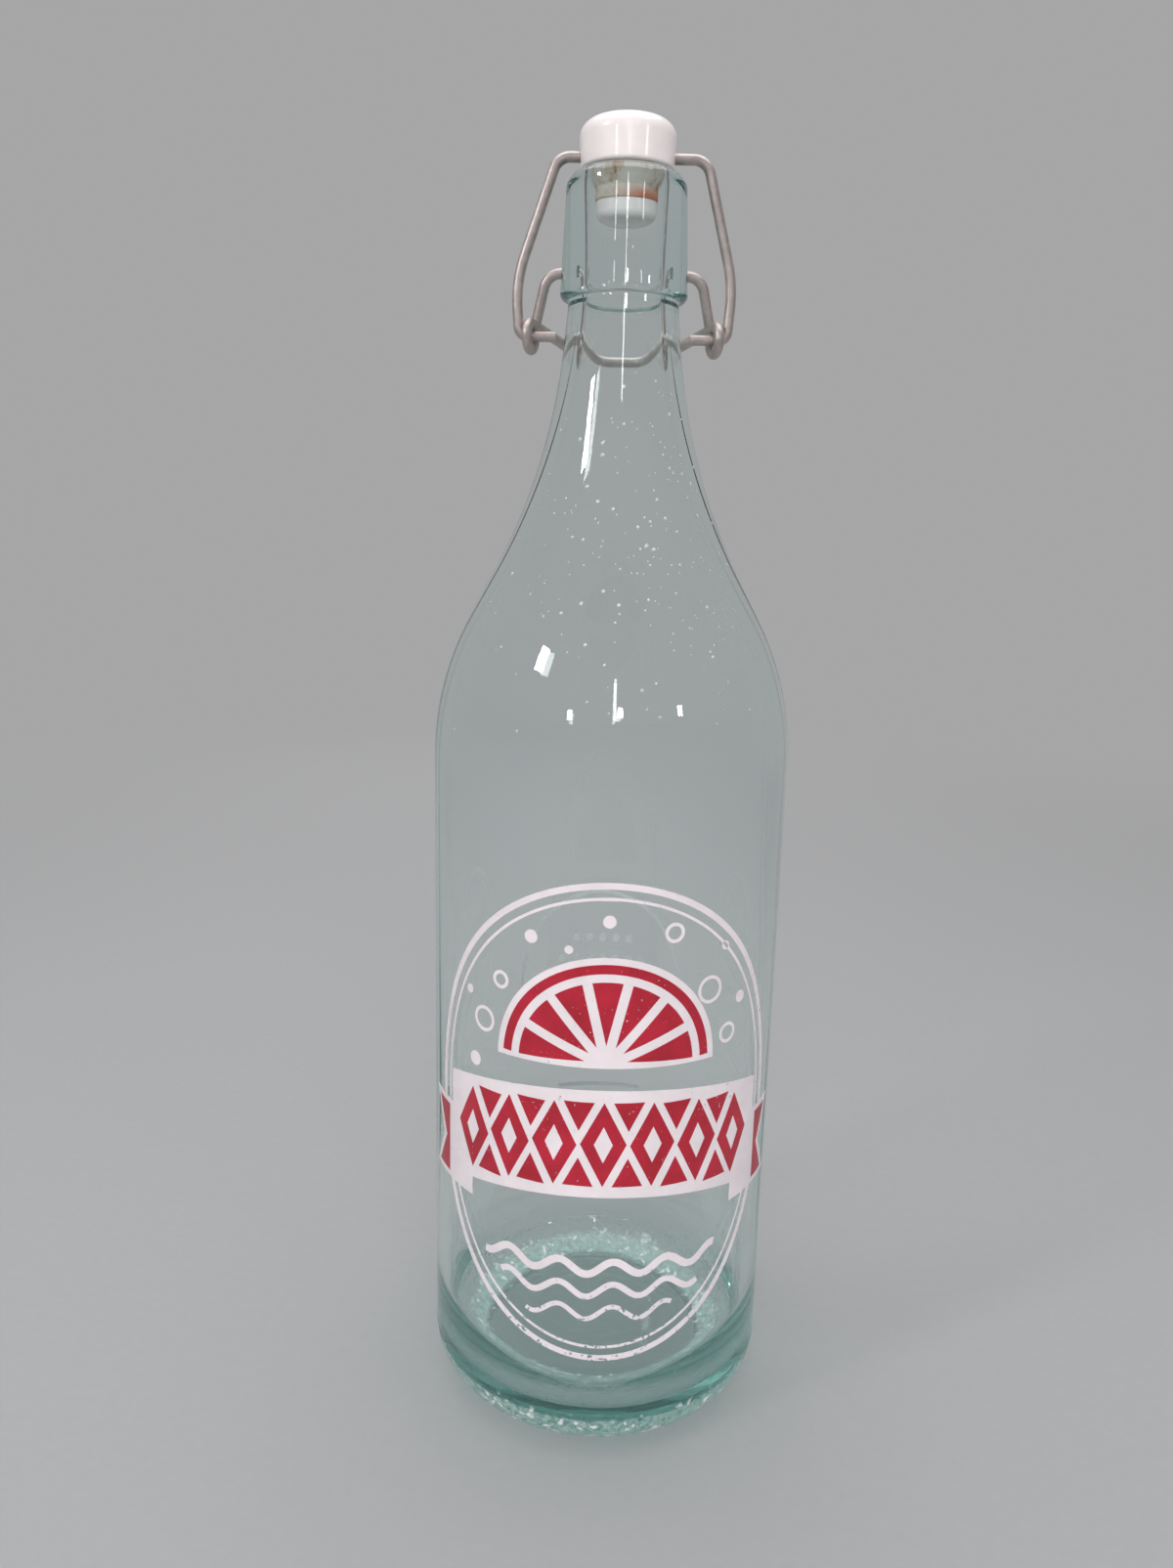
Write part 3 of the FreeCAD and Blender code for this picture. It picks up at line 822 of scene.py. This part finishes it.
def filled(name, outlines):
    """Flat mesh that fills outlines, with a hole where one lies inside another."""
    curve = bpy.data.curves.new(name, "CURVE")
    curve.dimensions = "2D"
    curve.fill_mode = "BOTH"
    for points in outlines:
        spline = curve.splines.new("POLY")
        spline.points.add(len(points) - 1)
        for point, (s, z) in zip(spline.points, points):
            point.co = (s, z, 0.0, 1.0)
        spline.use_cyclic_u = True
    return evaluated_mesh(link_object(name + "_flat", curve))


def enamel(name, outlines, height, root, material, turn=0.0):
    """A coat of enamel: outlines in millimetres, filled and wrapped on the body at a turn from the front,
    then thickened inwards, from a height down to a root over the body's radius. A root below zero is
    fused into the glass."""
    mesh = filled(name, outlines)
    bm = bmesh.new()
    bm.from_mesh(mesh)
    bmesh.ops.remove_doubles(bm, verts=bm.verts, dist=SAME_POINT)
    strips = int(max(abs(v.co.x) for v in bm.verts) / PRINT_STRIP)
    for k in range(-strips, strips + 1):
        everything = bm.verts[:] + bm.edges[:] + bm.faces[:]
        bmesh.ops.bisect_plane(bm, geom=everything, plane_co=(k * PRINT_STRIP, 0, 0), plane_no=(1, 0, 0))
    for face in bm.faces:
        face.normal_update()
    bmesh.ops.reverse_faces(bm, faces=[f for f in bm.faces if f.normal.z < 0])
    radius = (BODY_RADIUS + height) * MM
    for vert in bm.verts:
        angle = vert.co.x / BODY_RADIUS + turn
        vert.co = (radius * math.sin(angle), -radius * math.cos(angle), vert.co.y * MM)
    bm.to_mesh(mesh)
    bm.free()
    wrapped = link_object(name + "_sheet", mesh)
    coat = wrapped.modifiers.new("coat", "SOLIDIFY")
    coat.thickness = (height - root) * MM
    coat.offset = -1.0
    coated = evaluated_mesh(wrapped)
    shade_smooth(coated, ENAMEL_CREASE)
    piece = link_object(name, coated)
    dress(piece, material)
    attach(piece, "bottle")
    print(name, len(coated.polygons), "faces")


print("strips of", PRINT_STRIP, "mm")

# %% [markdown]
# ## Enamel finish
# Fired enamel is ground coloured glass: opaque, smooth and glossy, but less so than the bottle, with
# pinholes where the screen clogged and a rubbed look where crates touched it. The pinholes are real gaps in
# the coat, so they are cut through by transparency. They are drawn coarser than the real ones, or they
# would not show.

# %% Enamel materials
ENAMEL_CLOUD = 9.0
PINHOLE_SIZE, PINHOLE_DEPTH = 0.9, 0.05
WEAR_PATCH = 14.0
RUBBED_FULL, RUBBED_TOP = 34, 58
RUBBED_GAPS = 0.13
WEAR_GAPS, FEWEST_GAPS = 0.36, 0.09

coats = {}
for name, dark, light in [("white_glass_enamel_fired", "#EDE2E6", "#F9EEF2"),
                          ("red_glass_enamel_fired", "#A5162A", "#C21E38")]:
    coats[name], tree, out = new_material(name)
    coords = add(tree, "ShaderNodeTexCoord").outputs["Object"]
    cloud = add(tree, "ShaderNodeTexNoise", {"Vector": coords, "Scale": per_mm(ENAMEL_CLOUD), "Detail": 5.0,
                                             "Roughness": 0.6})
    colour = add(tree, "ShaderNodeValToRGB", {"Fac": cloud.outputs["Fac"]},
                 stops=[(0.3, dark), (0.65, light)])
    pits = add(tree, "ShaderNodeTexNoise", {"Vector": coords, "Scale": per_mm(PINHOLE_SIZE), "Detail": 2.0,
                                            "Roughness": 0.5})
    wear = add(tree, "ShaderNodeTexNoise", {"Vector": coords, "Scale": per_mm(WEAR_PATCH), "Detail": 3.0})
    axes = add(tree, "ShaderNodeSeparateXYZ", {"Vector": coords})
    rubbed = add(tree, "ShaderNodeMapRange", {"Value": axes.outputs["Z"], "From Min": RUBBED_FULL * MM,
                                              "From Max": RUBBED_TOP * MM, "To Min": RUBBED_GAPS,
                                              "To Max": 0.0})
    gaps = add(tree, "ShaderNodeMath", {0: wear.outputs["Fac"], 1: WEAR_GAPS, 2: FEWEST_GAPS},
               operation="MULTIPLY_ADD")
    limit = add(tree, "ShaderNodeMath", {0: gaps.outputs["Value"], 1: rubbed.outputs["Result"]})
    whole = add(tree, "ShaderNodeMath", {0: pits.outputs["Fac"], 1: limit.outputs["Value"]},
                operation="GREATER_THAN")
    pitted = add(tree, "ShaderNodeBump", {"Height": pits.outputs["Fac"], "Strength": 0.12,
                                          "Distance": PINHOLE_DEPTH * MM})
    fired = add(tree, "ShaderNodeBsdfPrincipled",
                {"Base Color": colour.outputs["Color"], "Roughness": 0.32, "IOR": GLASS_IOR,
                 "Alpha": whole.outputs["Value"], "Normal": pitted.outputs["Normal"]})
    tree.links.new(fired.outputs["BSDF"], out.inputs["Surface"])
print("enamels", sorted(coats))

# %% Print on front and back
white_coat = coats["white_glass_enamel_fired"]
red_coat = coats["red_glass_enamel_fired"]
enamel("frame_and_waves_print", white_lines, height=0.05, root=-0.05, material=white_coat)
enamel("ribbon_tails_print", white_tails, height=0.06, root=-0.06, material=white_coat)
enamel("citrus_ground_print", white_slice, height=0.07, root=-0.07, material=white_coat)
enamel("ribbon_ground_print", white_ribbon, height=0.08, root=-0.08, material=white_coat)
enamel("ribbon_tails_red_print", red_tails, height=0.10, root=0.03, material=red_coat)
enamel("citrus_slice_print", red_slice, height=0.11, root=0.03, material=red_coat)
enamel("ribbon_lozenges_print", red_ribbon, height=0.12, root=0.03, material=red_coat)
enamel("back_dots_print", back_motif, height=0.05, root=-0.05, material=white_coat, turn=math.pi)

# %% [markdown]
# ## Lime flecks
# A bottle that dried out unwashed has pale flecks of lime inside the shoulder. They are tiny flat crumbs
# that stick to the inner wall, chalky and dull. A speckle texture would float in the glass, so each fleck
# is a small solid, a little larger than the real ones so that it shows, placed on the inner outline at a
# seeded random place.

# %% Flecks on the inner wall
# A random share raised to a power is mostly near 0, so most flecks are small.
FLECKS = 240
FLECK_SMALL, FLECK_LARGE = 0.18, 0.50
FLECK_POWER = 3
FLECK_FLATNESS = 0.4
FLECK_LOWEST, FLECK_HIGHEST, FLECK_MOST = 176, 262, 214
FLECK_TURN, FLECK_SCATTER = 0.25, 0.75
LIME_GRAIN = 0.6

lime, tree, out = new_material("lime_scale_dried")
coords = add(tree, "ShaderNodeTexCoord").outputs["Object"]
grain = add(tree, "ShaderNodeTexNoise", {"Vector": coords, "Scale": per_mm(LIME_GRAIN)})
colour = add(tree, "ShaderNodeValToRGB", {"Fac": grain.outputs["Fac"]},
             stops=[(0.3, "#CFCBC4"), (0.7, "#F3F1EC")])
chalk = add(tree, "ShaderNodeBsdfPrincipled", {"Base Color": colour.outputs["Color"], "Roughness": 0.85})
tree.links.new(chalk.outputs["BSDF"], out.inputs["Surface"])

inner_wall = wall[lip_index:]
fleck_mesh = bpy.data.meshes.new("lime_flecks")
bm = bmesh.new()
for _ in range(FLECKS):
    z = rng.triangular(FLECK_LOWEST, FLECK_HIGHEST, FLECK_MOST)
    angle = rng.gauss(FLECK_TURN, FLECK_SCATTER)
    size = FLECK_SMALL + (FLECK_LARGE - FLECK_SMALL) * rng.random() ** FLECK_POWER
    above = min((p for p in inner_wall if p.y >= z), key=lambda p: p.y)
    below = max((p for p in inner_wall if p.y < z), key=lambda p: p.y)
    spot = below.lerp(above, (z - below.y) / (above.y - below.y))
    slope = math.atan2(below.x - above.x, above.y - below.y)
    place = Matrix.Rotation(angle, 4, "Z") @ Matrix.Translation(Vector((0, -spot.x, z)) * MM)
    crumb = Matrix.Diagonal((size * MM, FLECK_FLATNESS * size * MM, size * MM, 1))
    place = place @ Matrix.Rotation(-slope, 4, "X") @ crumb
    bmesh.ops.create_icosphere(bm, subdivisions=1, radius=1.0, matrix=place)
bm.to_mesh(fleck_mesh)
bm.free()
flecks = link_object("lime_flecks", fleck_mesh)
dress(flecks, lime)
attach(flecks, "bottle")
print("flecks", FLECKS, "faces", len(fleck_mesh.polygons))

# %% [markdown]
# ## Galvanised wire
# Bail and lever are drawn steel wire, dipped in zinc. The zinc has gone dull: a pale, slightly warm grey
# metal with cloudy patches, some smoother than others, and a fine grain. The wires could be drawn again as
# curves with a round bevel, but the CAD solids have the right bends and eyes, so they stay and only get the
# metal. The grain is drawn coarser than the real one, to show.

# %% Wire material
SPANGLE_SIZE = 2.2
ZINC_GRAIN, ZINC_DEPTH = 0.5, 0.05

wire, tree, out = new_material("galvanised_steel_wire_drawn")
coords = add(tree, "ShaderNodeTexCoord").outputs["Object"]
spangle = add(tree, "ShaderNodeTexNoise", {"Vector": coords, "Scale": per_mm(SPANGLE_SIZE), "Detail": 5.0,
                                           "Roughness": 0.65})
colour = add(tree, "ShaderNodeValToRGB", {"Fac": spangle.outputs["Fac"]},
             stops=[(0.25, "#BDB0AC"), (0.5, "#CDC0BC"), (0.75, "#DDD1CD")])
rough = add(tree, "ShaderNodeMapRange", {"Value": spangle.outputs["Fac"], "To Min": 0.36, "To Max": 0.55})
grain = add(tree, "ShaderNodeTexNoise", {"Vector": coords, "Scale": per_mm(ZINC_GRAIN), "Detail": 3.0})
bump = add(tree, "ShaderNodeBump", {"Height": grain.outputs["Fac"], "Strength": 0.15,
                                    "Distance": ZINC_DEPTH * MM})
metal = add(tree, "ShaderNodeBsdfPrincipled",
            {"Base Color": colour.outputs["Color"], "Metallic": 1.0, "Roughness": rough.outputs["Result"],
             "Normal": bump.outputs["Normal"]})
tree.links.new(metal.outputs["BSDF"], out.inputs["Surface"])
for node in ("bail_wire", "lever_wire"):
    dress(frame["nodes"][node], wire)
print("wires galvanised")

# %% [markdown]
# ## Glazed porcelain
# The stopper is fired white clay under clear glaze: a bright body with a soft sheen and sharp lamp spots.
# Rust from the wire has run into the glaze round the left end of the cross hole. The stain could be a
# painted picture, but the distance from the hole's mouth, made ragged by noise, gives it at any size.

# %% Porcelain material
CROSS_HOLE_LEFT = Vector((-11.0, 0.0, 306.1)) * MM
GLAZE_CLOUD = 7.0
RUST_RAGGED = 2.4
RUST_FULL, RUST_END = 2.2, 3.6

porcelain, tree, out = new_material("porcelain_glazed")
coords = add(tree, "ShaderNodeTexCoord").outputs["Object"]
cloud = add(tree, "ShaderNodeTexNoise", {"Vector": coords, "Scale": per_mm(GLAZE_CLOUD), "Detail": 4.0})
white = add(tree, "ShaderNodeValToRGB", {"Fac": cloud.outputs["Fac"]},
            stops=[(0.3, "#EFE4E3"), (0.7, "#FAF2F1")])
away = add(tree, "ShaderNodeVectorMath", {0: coords, 1: CROSS_HOLE_LEFT}, operation="DISTANCE")
ragged = add(tree, "ShaderNodeMath", {0: cloud.outputs["Fac"], 1: RUST_RAGGED * MM,
                                      2: away.outputs["Value"]}, operation="MULTIPLY_ADD")
rust = add(tree, "ShaderNodeMapRange", {"Value": ragged.outputs["Value"], "From Min": RUST_FULL * MM,
                                        "From Max": RUST_END * MM, "To Min": 0.75, "To Max": 0.0})
colour = add(tree, "ShaderNodeMix", {"Factor": rust.outputs["Result"], "A": white.outputs["Color"],
                                     "B": linear("#8E5A3C")}, data_type="RGBA")
glaze = add(tree, "ShaderNodeBsdfPrincipled",
            {"Base Color": colour.outputs[2], "Roughness": 0.24, "IOR": 1.5, "Coat Weight": 0.3})
tree.links.new(glaze.outputs["BSDF"], out.inputs["Surface"])
dress(frame["nodes"]["porcelain_stopper"], porcelain)
print("stopper glazed")

# %% [markdown]
# ## Aged rubber
# The gasket is natural rubber that has stood for years: beige-grey where it bloomed, brown where it
# perished, and orange with rust along its lower rim on the right, where water ran down from the wire. One
# noise makes both the patches and the fine cracks, because rubber cracks where it has perished.

# %% Rubber material
STAIN_SIZE = 4.5
CRACK_DEPTH = 0.2
RUST_RIM_LOW, RUST_RIM_HIGH = 296.4, 298.6
RUST_SIDE = 3.0
RUST_STRENGTH = 0.85

rubber, tree, out = new_material("natural_rubber_moulded_aged")
coords = add(tree, "ShaderNodeTexCoord").outputs["Object"]
stain = add(tree, "ShaderNodeTexNoise", {"Vector": coords, "Scale": per_mm(STAIN_SIZE), "Detail": 6.0,
                                         "Roughness": 0.7})
bloom = add(tree, "ShaderNodeValToRGB", {"Fac": stain.outputs["Fac"]},
            stops=[(0.30, "#8A5A38"), (0.38, "#B39A82"), (0.48, "#CFC6BC"), (0.7, "#DCD6CE")])
axes = add(tree, "ShaderNodeSeparateXYZ", {"Vector": coords})
low = add(tree, "ShaderNodeMapRange", {"Value": axes.outputs["Z"], "From Min": RUST_RIM_LOW * MM,
                                       "From Max": RUST_RIM_HIGH * MM, "To Min": 1.0, "To Max": 0.0})
right = add(tree, "ShaderNodeMapRange", {"Value": axes.outputs["X"], "From Min": -RUST_SIDE * MM,
                                         "From Max": RUST_SIDE * MM, "To Min": 0.15, "To Max": 1.0})
wet = add(tree, "ShaderNodeMath", {0: low.outputs["Result"], 1: right.outputs["Result"]},
          operation="MULTIPLY")
rusty = add(tree, "ShaderNodeMath", {0: wet.outputs["Value"], 1: RUST_STRENGTH}, operation="MULTIPLY")
colour = add(tree, "ShaderNodeMix", {"Factor": rusty.outputs["Value"], "A": bloom.outputs["Color"],
                                     "B": linear("#C4581C")}, data_type="RGBA")
crack = add(tree, "ShaderNodeBump", {"Height": stain.outputs["Fac"], "Strength": 0.3,
                                     "Distance": CRACK_DEPTH * MM})
skin = add(tree, "ShaderNodeBsdfPrincipled", {"Base Color": colour.outputs[2], "Roughness": 0.75,
                                              "Normal": crack.outputs["Normal"]})
tree.links.new(skin.outputs["BSDF"], out.inputs["Surface"])
dress(frame["nodes"]["rubber_gasket"], rubber)
print("gasket aged")
